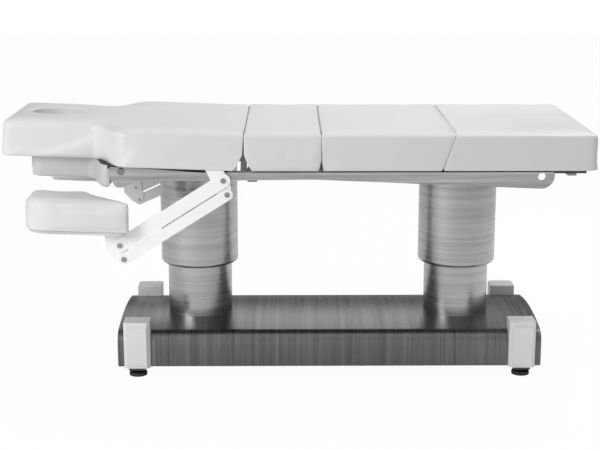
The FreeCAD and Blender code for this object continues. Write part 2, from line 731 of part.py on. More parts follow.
def cover_profile(inset):
    """Upright sides, round shoulders and a gently crowned top, seen from the end."""
    r = SHOULDER_R - inset
    centre_y = BASE_WIDTH / 2 - SHOULDER_R
    reach = CROWN_R - SHOULDER_R
    tilt = math.asin(centre_y / reach)
    centre_z = COVER_CROWN - CROWN_R + reach * math.cos(tilt)
    edge_y = (CROWN_R - inset) * math.sin(tilt)
    edge_z = COVER_CROWN - CROWN_R + (CROWN_R - inset) * math.cos(tilt)
    half = centre_y + r
    low = COVER_BOTTOM - (1 if inset else 0)

    def pt(y, z):
        return V(BASE_X, y, z)

    edges = [Part.Arc(pt(-edge_y, edge_z), pt(0, COVER_CROWN - inset), pt(edge_y, edge_z)).toShape(),
             Part.LineSegment(pt(-half, low), pt(half, low)).toShape()]
    mid = (math.pi / 2 + tilt) / 2
    for side in (-1, 1):
        middle = pt(side * (centre_y + r * math.sin(mid)), centre_z + r * math.cos(mid))
        edges.append(Part.Arc(pt(side * edge_y, edge_z), middle, pt(side * half, centre_z)).toShape())
        edges.append(Part.LineSegment(pt(side * half, centre_z), pt(side * half, low)).toShape())
    return Part.Face(Part.Wire(Part.__sortEdges__(edges)))


def cover_solid(inset):
    length = BASE_LENGTH - 2 * inset
    solid = cover_profile(inset).extrude(V(length, 0, 0))
    solid.translate(V(-length / 2, 0, 0))
    return solid


def base_cover():
    cover = cover_solid(0).cut(cover_solid(COVER_WALL))
    for x in COLUMN_XS.values():
        cover = cover.cut(rod_z(x, 0, COVER_BOTTOM, COVER_CROWN + 10, LOWER_R + WIPER_GAP))
    return cover.cut(inlet_block(0))


def housing_places():
    inner = HOUSING_END_GAP + HOUSING_W / 2
    for end, x in (("head", BASE_X - BASE_LENGTH / 2 + inner), ("foot", BASE_X + BASE_LENGTH / 2 - inner)):
        for name, side in SIDES.items():
            yield end + "_" + name, x, side


HOUSING_OUT = BASE_WIDTH / 2 + HOUSING_PROUD
HOUSING_IN = BASE_WIDTH / 2 - HOUSING_REACH


def corner_housing(x, side):
    """A satin cap over the shoulder of the base, with bevelled outer corners."""
    half = HOUSING_W / 2
    bevel = HOUSING_BEVEL
    outline = [(x - half, side * HOUSING_IN, 4), (x + half, side * HOUSING_IN, 4),
               (x + half, side * (HOUSING_OUT - bevel), 0), (x + half - bevel, side * HOUSING_OUT, 0),
               (x - half + bevel, side * HOUSING_OUT, 0), (x - half, side * (HOUSING_OUT - bevel), 0)]
    block = plate_z(outline, COVER_BOTTOM, HOUSING_TOP)
    block = fillet_where(block, 4, at_height(HOUSING_TOP))
    return block.cut(cover_solid(0)).Solids[0]


def corner_plates():
    plates = []
    half = HOUSING_W / 2 - HOUSING_BEVEL - 1
    for _, x, side in housing_places():
        y0, y1 = between(side, HOUSING_OUT, HOUSING_OUT + PLATE_T)
        points = [(x - half, PLATE_BOTTOM, 3), (x + half, PLATE_BOTTOM, 3), (x + half, PLATE_TOP, 3),
                  (x - half, PLATE_TOP, 3)]
        plates.append(plate_y(points, y0, y1))
    return group(plates)


def levelling_feet():
    feet = []
    for _, x, side in housing_places():
        y = side * (HOUSING_OUT - FOOT_PAD_R - 2)
        pad = rod_z(x, y, 0, FOOT_PAD_H, FOOT_PAD_R)
        pad = pad.makeFillet(3, [e for e in pad.Edges if at_height(FOOT_PAD_H)(e)])
        feet.append(fused([pad, rod_z(x, y, FOOT_PAD_H - 1, COVER_BOTTOM - FOOT_PLATE_T, FOOT_STEM_R)]))
    return group(feet)


def square_tube(x, half, wall, z0, z1):
    outer = box(x - half, x + half, -half, half, z0, z1)
    return outer.cut(box(x - half + wall, x + half - wall, wall - half, half - wall, z0 - 1, z1 + 1))


def chassis():
    """Two long beams, their cross bars and the plates that carry the levelling feet."""
    x0 = BASE_X - BASE_LENGTH / 2 + 20
    x1 = BASE_X + BASE_LENGTH / 2 - 20
    top = COVER_BOTTOM + CHASSIS_H
    inner = CHASSIS_Y - CHASSIS_W / 2
    solids = []
    for side in SIDES.values():
        y0, y1 = between(side, inner, inner + CHASSIS_W)
        solids.append(box(x0, x1, y0, y1, COVER_BOTTOM, top))
    bar_xs = [x + d for x in COLUMN_XS.values() for d in (-90, 90)] + [BASE_X]
    solids += [box(x - 20, x + 20, -inner, inner, COVER_BOTTOM, top) for x in bar_xs]
    for _, x, side in housing_places():
        y0, y1 = between(side, inner, HOUSING_OUT - 2)
        a, b = x - FOOT_PLATE_HALF, x + FOOT_PLATE_HALF
        solids.append(box(a, b, y0, y1, COVER_BOTTOM - FOOT_PLATE_T, COVER_BOTTOM))
    return fused(solids)


def lower_column(x):
    tube = rod_z(x, 0, FLOOR_PLATE_TOP, LOWER_TOP, LOWER_R)
    return tube.cut(rod_z(x, 0, FLOOR_PLATE_TOP - 1, LOWER_TOP + 1, LOWER_R - TUBE_WALL))


def upper_column(x):
    tube = rod_z(x, 0, UPPER_BOTTOM, COLUMN_TOP, UPPER_R)
    tube = tube.makeFillet(UPPER_RIM_R, [e for e in tube.Edges if at_height(UPPER_BOTTOM)(e)])
    rim_top = UPPER_BOTTOM + UPPER_RIM_R + 3
    tube = tube.cut(rod_z(x, 0, UPPER_BOTTOM - 1, rim_top + 1, UPPER_R - UPPER_RIM_R - 1))
    return tube.cut(rod_z(x, 0, rim_top, COLUMN_TOP + 1, UPPER_R - TUBE_WALL))


def wiper_rings():
    """Soft rings that close the gap between the two tubes of a column."""
    z0 = UPPER_BOTTOM + UPPER_RIM_R - WIPER_H
    rings = []
    for x in COLUMN_XS.values():
        ring = rod_z(x, 0, z0, z0 + WIPER_H, UPPER_R - UPPER_RIM_R - 1)
        rings.append(ring.cut(rod_z(x, 0, z0 - 1, z0 + WIPER_H + 1, LOWER_R + WIPER_GAP)))
    return group(rings)


def guide_outer(x):
    """The fixed square guide tube, welded to its floor plate."""
    half = FLOOR_PLATE / 2
    plate = box(x - half, x + half, -half, half, FLOOR_PLATE_TOP - FLOOR_PLATE_T, FLOOR_PLATE_TOP)
    return fused([plate, square_tube(x, GUIDE_OUTER / 2, GUIDE_WALL, FLOOR_PLATE_TOP, GUIDE_TOP)])


def guide_inner(x):
    """The moving guide tube, welded to the round head plate under the top frame."""
    plate = rod_z(x, 0, COLUMN_TOP, CROSSBAR_BOTTOM, UPPER_R - TUBE_WALL / 2)
    half = GUIDE_OUTER / 2 - GUIDE_WALL - GUIDE_GAP
    return fused([plate, square_tube(x, half, GUIDE_WALL, GUIDE_INNER_BOTTOM, COLUMN_TOP)])


def control_box():
    z0 = COVER_BOTTOM + CHASSIS_H
    x0 = BASE_X - CONTROL_L / 2
    shell = box(x0, x0 + CONTROL_L, -CONTROL_W / 2, CONTROL_W / 2, z0, z0 + CONTROL_H)
    return fillet_where(shell, CONTROL_CORNER_R, upright)


def inlet_block(inset):
    x1 = BASE_X + BASE_LENGTH / 2
    z = COVER_BOTTOM + INLET_HEIGHT
    half_w = INLET_W / 2 - inset
    half_h = INLET_H / 2 - inset
    return box(x1 - INLET_DEPTH + inset, x1, -half_w, half_w, z - half_h, z + half_h)


def power_inlet():
    """A mains inlet in the foot end of the cover, set flush with the outer face."""
    return inlet_block(0).cut(inlet_block(INLET_WALL))


# Armrests, built beside the level back section and turned with it

UP_1 = (BACK_X - ARM_PIVOT_FROM_BACK, MATTRESS_BOTTOM - ARM_PIVOT_DROP)
UP_2 = (UP_1[0] + PIVOT_STEP_X, UP_1[1] - PIVOT_STEP_Z)
PLATE_IN = RAIL_OUT + ARM_PLATE_GAP
PLATE_OUT = PLATE_IN + ARM_PLATE_T
LINK_IN = PLATE_OUT + LINK_GAP
LINK_OUT = LINK_IN + ARM_PLATE_T
ARM_PAD_OUT = HALF_W + ARM_CUSHION_OUT
ARM_PAD_IN = ARM_PAD_OUT - ARM_CUSHION_W


def low_pivots(side):
    """The lower pivots of a side. The photographed far armrest stands a little higher than the near one."""
    angle = math.radians(LINK_ANGLES[side])
    dx = LINK_LENGTH * math.cos(angle)
    dz = LINK_LENGTH * math.sin(angle)
    return (UP_1[0] - dx, UP_1[1] - dz), (UP_2[0] - dx, UP_2[1] - dz)


def pad_bottom(side):
    return low_pivots(side)[0][1] + ARM_CUSHION_LIFT


def link(side, a, b, width):
    y0, y1 = between(side, LINK_IN, LINK_OUT)
    length = math.hypot(b[0] - a[0], b[1] - a[1])
    bar = box(a[0], a[0] + length, y0, y1, a[1] - width / 2, a[1] + width / 2)
    angle = math.degrees(math.atan2(b[1] - a[1], b[0] - a[0]))
    bar.rotate(V(a[0], 0, a[1]), V(0, -1, 0), angle)
    solid = fused([bar] + [rod_y(x, z, y0, y1, width / 2) for x, z in (a, b)])
    holes = [rod_y(x, z, y0 - 1, y1 + 1, ARM_BOLT_R + PIN_GAP) for x, z in (a, b)]
    return turned(solid.cut(holes))


def bolt(side, place):
    """A headed pivot that ends flush with the back of the plate that holds it."""
    x, z = place
    shank = rod_y(x, z, *between(side, PLATE_IN, LINK_OUT + LINK_GAP), ARM_BOLT_R)
    head_in = LINK_OUT + LINK_GAP
    head = rod_y(x, z, *between(side, head_in, head_in + ARM_BOLT_HEAD_H), ARM_BOLT_HEAD_R)
    return turned(fused([shank, head]))


def arm_bracket(side):
    """The upper plate with its flange, which sits in a groove of the back board."""
    x, z = UP_1
    u = PIVOT_STEP_Z
    points = [(x - 1.26 * u, BOARD_TOP, 0), (x - 1.01 * u, z + 0.21 * u, 0.41 * u),
              (x - 0.70 * u, z - 0.54 * u, 0),
              (x - 0.29 * u, z - 1.24 * u, 0.12 * u), (x + 0.21 * u, z - 1.36 * u, 0.21 * u),
              (x + 0.54 * u, z - 1.03 * u, 0.25 * u), (x + 0.56 * u, z - 0.41 * u, 0.62 * u),
              (x + 0.02 * u, BOARD_TOP, 0)]
    plate = plate_y(points, *between(side, PLATE_IN, PLATE_OUT))
    bracket = fused([plate, flange_box(side, 0)])
    return turned(bracket.cut([rod_y(p[0], p[1], -HALF_W, HALF_W, ARM_BOLT_R) for p in (UP_1, UP_2)]))


def arm_carrier(side):
    """The fan shaped lower plate with the flange that carries the armrest board."""
    lows = low_pivots(side)
    x, z = lows[0]
    top = pad_bottom(side) - SOFT_GAP - ARM_BOARD_T
    u = PIVOT_STEP_Z
    points = [(x - 1.11 * u, top, 0), (x - 0.97 * u, z - 0.41 * u, 0.25 * u),
              (x - 0.33 * u, z - 1.07 * u, 0.33 * u),
              (x + 0.16 * u, z - 1.36 * u, 0.25 * u), (x + 0.58 * u, z - 1.03 * u, 0.25 * u),
              (x + 0.64 * u, z - 0.62 * u, 0.29 * u), (x + 0.49 * u, z + 0.08 * u, 0.41 * u),
              (x + 0.21 * u, top, 0)]
    y0, y1 = between(side, PLATE_IN, PLATE_OUT)
    plate = plate_y(points, y0, y1)
    f0, f1 = between(side, ARM_PAD_IN + 24, PLATE_OUT)
    flange = box(x - 4.7 * u, x + 0.21 * u, f0, f1, top - FLANGE_T, top)
    outline = plate_z(arm_outline(side, ARM_FLANGE_INSET), top - FLANGE_T - 1, top + 1)
    solid = fused([plate, flange.common(outline)])
    return turned(solid.cut([rod_y(p[0], p[1], -HALF_W, HALF_W, ARM_BOLT_R) for p in lows]))


def arm_outline(side, inset):
    """Armrest seen from above: a slanted inner end that nests beside the head, a round outer end."""
    y_in = side * (ARM_PAD_IN + inset)
    y_out = side * (ARM_PAD_OUT - inset)
    x1 = low_pivots(side)[0][0] + ARM_CUSHION_TO_PIVOT - inset
    x0 = x1 - ARM_CUSHION_LENGTH + 2 * inset
    return [(x0, y_in, 26), (x0, y_out, 72), (x1, y_out, 12), (x1 - ARM_CUSHION_SLANT, y_in, 30)]


def arm_board(side):
    top = pad_bottom(side) - SOFT_GAP
    return turned(plate_z(arm_outline(side, ARM_BOARD_INSET), top - ARM_BOARD_T, top))


def arm_cushion(side):
    pad = plate_z(arm_outline(side, 0), pad_bottom(side), pad_bottom(side) + ARM_CUSHION_T)
    return turned(fillet_where(pad, EDGE_R, at_height(pad_bottom(side) + ARM_CUSHION_T)))


def build():
    os.makedirs("parts", exist_ok=True)
    save("base_cover", base_cover())
    save("chassis", chassis())
    save("control_box", control_box())
    save("power_inlet", power_inlet())
    save("corner_plates", corner_plates())
    save("levelling_feet", levelling_feet())
    for name, x, side in housing_places():
        save("corner_housing_" + name, corner_housing(x, side))
    for name, x in COLUMN_XS.items():
        save(name + "_column_lower", lower_column(x))
        save(name + "_column_upper", upper_column(x))
        save(name + "_guide_outer", guide_outer(x))
        save(name + "_guide_inner", guide_inner(x))
    save("wiper_rings", wiper_rings())
    save("frame_crossbars", frame_crossbars())
    save("frame_beams", frame_beams())
    save("seat_board", seat_board())
    save("seat_cushion", seat_cushion())
    seat_plates = hinge_plates(BACK_X, 1, 0, HINGE_FOOT) + hinge_plates(LEG_X, -1, 0, HINGE_FOOT)
    save("seat_hinge_plates", group(seat_plates))
    save("hinge_pins", group(hinge_pins(BACK_X) + hinge_pins(LEG_X)))
    save("drive_clamps", drive_clamps())
    back_stroke = 2 * travel(BACK_SWING) * BACK_SWING
    save("back_drive_body", drive_body(BACK_PIN_X, BACK_REAR_X, BACK_DRIVE_Y, back_stroke))
    save("leg_drive_body", drive_body(LEG_PIN_X, LEG_REAR_X, LEG_DRIVE_Y, 2 * travel(LEG_SWING) * LEG_SWING))
    save("back_drive_rod", drive_rod(BACK_PIN_X, BACK_REAR_X, BACK_DRIVE_Y))
    save("leg_drive_rod", drive_rod(LEG_PIN_X, LEG_REAR_X, LEG_DRIVE_Y))
    save("back_board", back_board())
    save("back_cushion", back_cushion())
    save("back_frame", back_frame())
    save("under_shell", under_shell())
    save("face_ring", face_ring())
    save("leg_board", leg_board())
    save("leg_cushion", leg_cushion())
    save("leg_frame", leg_frame())
    save("knee_pins", knee_pins())
    save("foot_board", foot_board())
    save("foot_cushion", foot_cushion())
    save("foot_frame", foot_frame())
    for name, side in SIDES.items():
        save("rail_" + name, rail(side))
        save("arm_bracket_" + name, arm_bracket(side))
        lows = low_pivots(side)
        save("arm_upper_link_" + name, link(side, UP_1, lows[0], UPPER_LINK_W))
        save("arm_lower_link_" + name, link(side, UP_2, lows[1], LOWER_LINK_W))
        save("arm_carrier_" + name, arm_carrier(side))
        save("arm_board_" + name, arm_board(side))
        save("arm_cushion_" + name, arm_cushion(side))
        save("arm_lower_bolts_" + name, group([bolt(side, p) for p in lows]))
    save("arm_upper_bolts", group([bolt(side, p) for side in SIDES.values() for p in (UP_1, UP_2)]))


build()
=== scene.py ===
import json
import math

import bmesh
import bpy
from mathutils import Matrix, Vector


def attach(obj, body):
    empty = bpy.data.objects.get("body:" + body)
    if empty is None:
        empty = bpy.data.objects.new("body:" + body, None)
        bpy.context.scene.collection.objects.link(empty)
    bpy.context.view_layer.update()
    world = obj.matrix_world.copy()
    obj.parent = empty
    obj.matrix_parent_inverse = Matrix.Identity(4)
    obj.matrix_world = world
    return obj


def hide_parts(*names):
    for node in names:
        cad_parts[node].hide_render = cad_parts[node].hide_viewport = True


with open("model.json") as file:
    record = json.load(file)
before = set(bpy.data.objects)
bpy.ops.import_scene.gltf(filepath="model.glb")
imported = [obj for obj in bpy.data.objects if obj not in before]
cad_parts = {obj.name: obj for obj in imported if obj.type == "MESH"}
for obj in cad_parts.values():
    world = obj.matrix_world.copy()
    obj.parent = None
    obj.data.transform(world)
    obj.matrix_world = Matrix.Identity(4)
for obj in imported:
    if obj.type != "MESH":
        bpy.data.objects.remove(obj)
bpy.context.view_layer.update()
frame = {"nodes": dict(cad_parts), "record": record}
NODES = frame["nodes"]

# Sizes in metres, from the part's source
BACK_TILT = math.radians(2.0)
BACK_X = (0.840 * math.cos(BACK_TILT) + 0.113 * math.sin(BACK_TILT)) - 1.025
HINGE_Z = 0.885
HEAD_X = BACK_X - 0.840
LEG_X = BACK_X + 0.265
KNEE_X = LEG_X + 0.460
FOOT_X = 1.025
HALF_W = 0.390
HEAD_Y = 0.240
LOW = 0.772
TOP = 0.899
FACE_X = HEAD_X + 0.151
NECK0 = HEAD_X + 0.305
NECK1 = NECK0 + 0.136
SIDES = {"near": -1, "far": 1}
SKIN = 0.001
OVER_HEAD = 0.014
OVER_FOOT = 0.010

TURN = (Matrix.Translation((BACK_X, 0, HINGE_Z)) @ Matrix.Rotation(BACK_TILT, 4, "Y")
        @ Matrix.Translation((-BACK_X, 0, -HINGE_Z)))


# Materials

def material(name, colour, rough, metallic=0.0):
    m = bpy.data.materials.new(name)
    m.use_nodes = True
    shader = m.node_tree.nodes["Principled BSDF"]
    shader.inputs["Base Color"].default_value = (*colour, 1)
    shader.inputs["Roughness"].default_value = rough
    shader.inputs["Metallic"].default_value = metallic
    return m, m.node_tree, shader


def coords(tree, scale):
    place = tree.nodes.new("ShaderNodeTexCoord")
    mapping = tree.nodes.new("ShaderNodeMapping")
    mapping.inputs["Scale"].default_value = scale
    tree.links.new(place.outputs["Object"], mapping.inputs["Vector"])
    return mapping.outputs["Vector"]


def noise(tree, scale, size=1.0, detail=4.0, rough=0.6):
    node = tree.nodes.new("ShaderNodeTexNoise")
    node.inputs["Scale"].default_value = size
    node.inputs["Detail"].default_value = detail
    node.inputs["Roughness"].default_value = rough
    tree.links.new(coords(tree, scale), node.inputs["Vector"])
    return node.outputs["Fac"]


def spread(tree, value, low, high, v0=0.3, v1=0.7):
    node = tree.nodes.new("ShaderNodeMapRange")
    node.inputs["From Min"].default_value = v0
    node.inputs["From Max"].default_value = v1
    node.inputs["To Min"].default_value = low
    node.inputs["To Max"].default_value = high
    tree.links.new(value, node.inputs["Value"])
    return node.outputs["Result"]


def times(tree, a, b):
    node = tree.nodes.new("ShaderNodeMath")
    node.operation = "MULTIPLY"
    tree.links.new(a, node.inputs[0])
    tree.links.new(b, node.inputs[1])
    return node.outputs[0]


def tint(tree, shader, colour, factor):
    """Base colour as the plain colour times a factor that varies over the surface."""
    node = tree.nodes.new("ShaderNodeMix")
    node.data_type = "RGBA"
    node.blend_type = "MULTIPLY"
    node.inputs["Factor"].default_value = 1.0
    node.inputs["A"].default_value = (*colour, 1)
    tree.links.new(factor, node.inputs["B"])
    tree.links.new(node.outputs["Result"], shader.inputs["Base Color"])


def bump(tree, shader, heights):
    """Bump nodes in a chain, from (height, strength, distance)."""
    last = None
    for height, strength, distance in heights:
        node = tree.nodes.new("ShaderNodeBump")
        node.inputs["Strength"].default_value = strength
        node.inputs["Distance"].default_value = distance
        tree.links.new(height, node.inputs["Height"])
        if last is not None:
            tree.links.new(last, node.inputs["Normal"])
        last = node.outputs["Normal"]
    tree.links.new(last, shader.inputs["Normal"])


def brushed(name, colour, rough, streak, low, high, metallic=1.0):
    """Brushed metal: streaks along the directions where the streak scale is small."""
    m, tree, shader = material(name, colour, rough, metallic)
    fine = noise(tree, streak, 1.0, 6.0, 0.7)
    broad = noise(tree, [s * 0.13 for s in streak], 1.0, 3.0)
    tint(tree, shader, colour, times(tree, spread(tree, fine, low, high), spread(tree, broad, low, high)))
    tree.links.new(spread(tree, fine, rough - 0.07, rough + 0.09), shader.inputs["Roughness"])
    bump(tree, shader, [(fine, 0.12, 0.0004)])
    return m


def painted(name, colour, rough, wear=0.03, metallic=0.0, grain=900.0):
    """Paint or moulded plastic: faint mottle, fine orange peel and uneven gloss."""
    m, tree, shader = material(name, colour, rough, metallic)
    cloud = noise(tree, (7.0, 7.0, 7.0))
    fine = noise(tree, (grain, grain, grain), 1.0, 2.0)
    tint(tree, shader, colour, spread(tree, cloud, 1.0 - wear, 1.0 + wear))
    tree.links.new(spread(tree, cloud, rough - 0.05, rough + 0.06), shader.inputs["Roughness"])
    bump(tree, shader, [(fine, 0.06, 0.0003)])
    return m


def leatherette():
    colour = (0.665, 0.667, 0.672)
    m, tree, shader = material("leatherette", colour, 0.45)
    shader.inputs["Specular IOR Level"].default_value = 0.42
    cell = tree.nodes.new("ShaderNodeTexVoronoi")
    cell.inputs["Scale"].default_value = 620.0
    tree.links.new(coords(tree, (1, 1, 1)), cell.inputs["Vector"])
    cloud = noise(tree, (5.0, 5.0, 5.0))
    ripple = noise(tree, (13.0, 13.0, 20.0), 1.0, 2.0)
    tint(tree, shader, colour, spread(tree, cloud, 0.975, 1.02))
    tree.links.new(spread(tree, cloud, 0.40, 0.50), shader.inputs["Roughness"])
    bump(tree, shader, [(cell.outputs["Distance"], 0.10, 0.0004), (ripple, 0.10, 0.0030)])
    return m


def wood(name, colour):
    m, tree, shader = material(name, colour, 0.6)
    grain = noise(tree, (4.0, 60.0, 60.0), 1.0, 5.0)
    tint(tree, shader, colour, spread(tree, grain, 0.8, 1.2))
    tree.links.new(spread(tree, grain, 0.5, 0.7), shader.inputs["Roughness"])
    bump(tree, shader, [(grain, 0.15, 0.0005)])
    return m


MATERIALS = {
    "leatherette": leatherette(),
    "board": wood("board", (0.045, 0.045, 0.048)),
    "frame_paint": painted("frame_paint", (0.36, 0.365, 0.37), 0.45),
    "shell": painted("shell", (0.55, 0.555, 0.56), 0.42),
    "brushed": brushed("brushed", (0.47, 0.47, 0.475), 0.28, (2.0, 2.0, 300.0), 0.80, 1.18),
    "base_steel": brushed("base_steel", (0.19, 0.192, 0.195), 0.30, (260.0, 2.0, 3.0), 0.75, 1.25),
    "housing": painted("housing", (0.73, 0.733, 0.74), 0.34, 0.02),
    "arm_paint": painted("arm_paint", (0.90, 0.90, 0.90), 0.35, 0.012),
    "pin_steel": brushed("pin_steel", (0.34, 0.34, 0.34), 0.33, (500.0, 500.0, 500.0), 0.85, 1.15),
    "rubber": painted("rubber", (0.025, 0.025, 0.026), 0.7, 0.15),
    "chassis_paint": painted("chassis_paint", (0.05, 0.05, 0.052), 0.5, 0.1),
    "guide": brushed("guide", (0.5, 0.505, 0.51), 0.34, (300.0, 300.0, 3.0), 0.9, 1.1),
    "drive": painted("drive", (0.06, 0.06, 0.062), 0.5, 0.1),
    "rod_chrome": brushed("rod_chrome", (0.62, 0.62, 0.63), 0.16, (5.0, 300.0, 300.0), 0.95, 1.05),
}
RAIL_STEEL = brushed("rail_steel", (0.50, 0.50, 0.505), 0.38, (3.0, 200.0, 260.0), 0.68, 1.28)
PALE_BOARD = wood("pale_board", (0.55, 0.55, 0.555))

for entry in frame["record"]["subparts"]:
    node = NODES[entry["node"]]
    chosen = MATERIALS[entry["material_slot"]]
    if entry["node"].startswith("rail_"):
        chosen = RAIL_STEEL
    if entry["node"].startswith("arm_board"):
        chosen = PALE_BOARD
    for i in range(max(1, len(node.material_slots))):
        if not node.material_slots:
            node.data.materials.append(chosen)
        node.material_slots[i].material = chosen


# Cushions

CAP = 0.0050
VOXEL = 0.0092
ARM_VOXEL = 0.0055
FIRM = 0.10
FREE_FROM = 0.03
SPARE = 0.024
HIGH, DEEP = TOP + 0.1, LOW - 0.1
BACK_GAP = 0.0009
SEAM_GAP = 0.0007
BEVEL_X, BEVEL_Z, BEVEL_OVER = 0.003, 0.006, 0.001
FACE_RX, FACE_RY = 0.095, 0.070
PAD_T = 0.127
KNEE_RUN = 0.046
SLANT = KNEE_RUN / PAD_T

def mesh_object(name, bm):
    mesh = bpy.data.meshes.new(name)
    bm.normal_update()
    bm.to_mesh(mesh)
    bm.free()
    obj = bpy.data.objects.new(name, mesh)
    bpy.context.collection.objects.link(obj)
    return obj


def prism(name, points, axis, low, high):
    """A closed prism over a flat outline. Axis 2 takes (x, y) points, axis 1 takes (x, z) points."""
    bm = bmesh.new()
    ends = []
    for level in (low, high):
        row = [(p[0], p[1], level) if axis == 2 else (p[0], level, p[1]) for p in points]
        ends.append([bm.verts.new(p) for p in row])
    bm.faces.new(ends[0])
    bm.faces.new(list(reversed(ends[1])))
    for i in range(len(points)):
        j = (i + 1) % len(points)
        bm.faces.new((ends[0][j], ends[0][i], ends[1][i], ends[1][j]))
    bmesh.ops.recalc_face_normals(bm, faces=bm.faces)
    return mesh_object(name, bm)


def apply(obj, kind, **values):
    mod = obj.modifiers.new(kind, kind)
    for key, value in values.items():
        setattr(mod, key, value)
    bpy.context.view_layer.objects.active = obj
    bpy.ops.object.modifier_apply(modifier=mod.name)


def combine(obj, tool, operation):
    apply(obj, "BOOLEAN", operation=operation, solver="EXACT", object=tool)
    bpy.data.objects.remove(tool)


def arc(cx, cy, r, a0, a1, count=8):
    steps = [math.radians(a0 + (a1 - a0) * i / count) for i in range(count + 1)]
    return [(cx + r * math.cos(a), cy + r * math.sin(a)) for a in steps]


def ellipse(cx, rx, ry, count=48):
    steps = [2 * math.pi * i / count for i in range(count)]
    return [(cx + rx * math.cos(a), ry * math.sin(a)) for a in steps]


def neck_points(count=16):
    """The S curve from the narrow head to the wide back, as (x, y) on the +Y side."""
    points = []
    for i in range(count + 1):
        t = i / count
        mid = (NECK0 + NECK1) / 2
        x = NECK0 * (1 - t) ** 3 + 3 * mid * t * (1 - t) ** 2 + 3 * mid * t * t * (1 - t) + NECK1 * t ** 3
        y = HEAD_Y + (HALF_W - HEAD_Y) * (3 * t * t - 2 * t ** 3)
        points.append((x, y - SKIN))
    return points


def half_outline_back(end):
    """The back cushion seen from above: the +Y half, then its mirror image."""
    r = 0.026
    corner = arc(HEAD_X - OVER_HEAD + r, HEAD_Y - SKIN - r, r, 180, 90)
    half = corner + neck_points() + [(end, HALF_W - SKIN)]
    return half + [(x, -y) for x, y in reversed(half)]


def rectangle(x0, x1, y, r0=0.004, r1=0.004):
    far = arc(x0 + r0, y - r0, r0, 180, 90, 6) + arc(x1 - r1, y - r1, r1, 90, 0, 6)
    return far + [(x, -y) for x, y in reversed(far)]


def pinned(obj, low, margin):
    group = obj.vertex_groups.new(name="pin")
    group.add([v.index for v in obj.data.vertices if v.co.z < low + margin], 1.0, "REPLACE")
    return group.name


def swell(obj, low, cap, hold):
    """Cloth under inside pressure. A point moves by cap at most."""
    rest = [v.co.copy() for v in obj.data.vertices]
    mod = obj.modifiers.new("Cloth", "CLOTH")
    cloth = mod.settings
    cloth.use_pressure = True
    cloth.uniform_pressure_force = 4.0
    cloth.effector_weights.gravity = 0.0
    cloth.quality = 4
    cloth.vertex_group_mass = pinned(obj, low, 0.012)
    mod.point_cache.frame_start = 1
    mod.point_cache.frame_end = 20
    for i in range(1, 21):
        bpy.context.scene.frame_set(i)
    bpy.context.view_layer.objects.active = obj
    bpy.ops.object.modifier_apply(modifier=mod.name)
    bpy.context.scene.frame_set(1)
    for v, p in zip(obj.data.vertices, rest):
        step = (v.co - p) * hold(p)
        if step.length > cap:
            step = step.normalized() * cap
        v.co = p + step
    obj.vertex_groups.remove(obj.vertex_groups["pin"])


def crease(obj, seams):
    """Sewn seams: each gives, for a point, how far it lies from the stitch line."""
    mesh = obj.data
    normals = [v.normal.copy() for v in mesh.vertices]
    for v, n in zip(mesh.vertices, normals):
        depth = 0.0
        for distance, width, deep in seams:
            d = distance(v.co, n)
            depth = max(depth, deep * math.exp(-(d / width) ** 2))
        v.co -= n * depth


def even(p):
    return 1.0


def pad(name, body, node, base, low=LOW, voxel=VOXEL, seams=(), turn=None, pockets=(), cuts=(), hold=even):
    """A cushion from a plain block. It swells as one form and is cut to its seam ends afterwards."""
    apply(base, "REMESH", mode="VOXEL", voxel_size=voxel)
    free = base.vertex_groups.new(name="free")
    for v in base.data.vertices:
        free.add([v.index], min(1.0, max(FIRM, (v.co.z - low) / FREE_FROM)), "REPLACE")
    apply(base, "SMOOTH", factor=0.5, iterations=4, vertex_group="free")
    swell(base, low, CAP, hold)
    apply(base, "SMOOTH", factor=0.5, iterations=8, vertex_group="free")
    apply(base, "SUBSURF", levels=1)
    crease(base, seams)
    for tool, operation in cuts:
        combine(base, tool, operation)
    for x0, x1, y0, y1, z1 in pockets:
        tool = prism("pocket", [(x0, y0), (x1, y0), (x1, y1), (x0, y1)], 2, low - 0.02, z1)
        combine(base, tool, "DIFFERENCE")
    if turn is not None:
        base.data.transform(turn)
    base.name = name
    base.data.materials.clear()
    base.data.materials.append(MATERIALS["leatherette"])
    bpy.context.view_layer.objects.active = base
    base.select_set(True)
    bpy.ops.object.shade_smooth_by_angle(angle=math.radians(50))
    base.select_set(False)
    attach(base, body)
    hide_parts(node)
    return base


def hinge_pockets(x):
    return [(x - 0.012, x + 0.012, s * 0.3000 - 0.0020 if s > 0 else -0.3150,
             0.3150 if s > 0 else -0.2980, TOP - 0.0025) for s in (-1, 1)]


def seam_line(x, slant=0.0):
    """The stitched edge of a cushion at a seam, where the cover is drawn in a little."""
    def distance(p, n):
        return abs(p.x - x - (p.z - TOP) * slant)
    return distance


def band(level):
    """A stitch line around the side at one height."""
    def distance(p, n):
        return abs(p.z - level) if abs(n.z) < 0.75 else 1.0
    return distance


def stitched(x, slant=0.0):
    """A seam end as (distance, width, depth) for crease."""
    return seam_line(x, slant), 0.0045, 0.0014


def outline_cut(points):
    """Keeps only what lies inside a side view outline."""
    return prism("profile", points, 1, -0.5, 0.5), "INTERSECT"


def upper_edge(x, way):
    """The bevelled top of a seam end, from the side face up. The cushion lies on the side way of x."""
    return [(x, TOP - BEVEL_Z), (x + way * BEVEL_X, TOP + BEVEL_OVER), (x + way * BEVEL_X, HIGH)]


EDGE_SEAM = (band(TOP - 0.017), 0.0022, 0.0010)

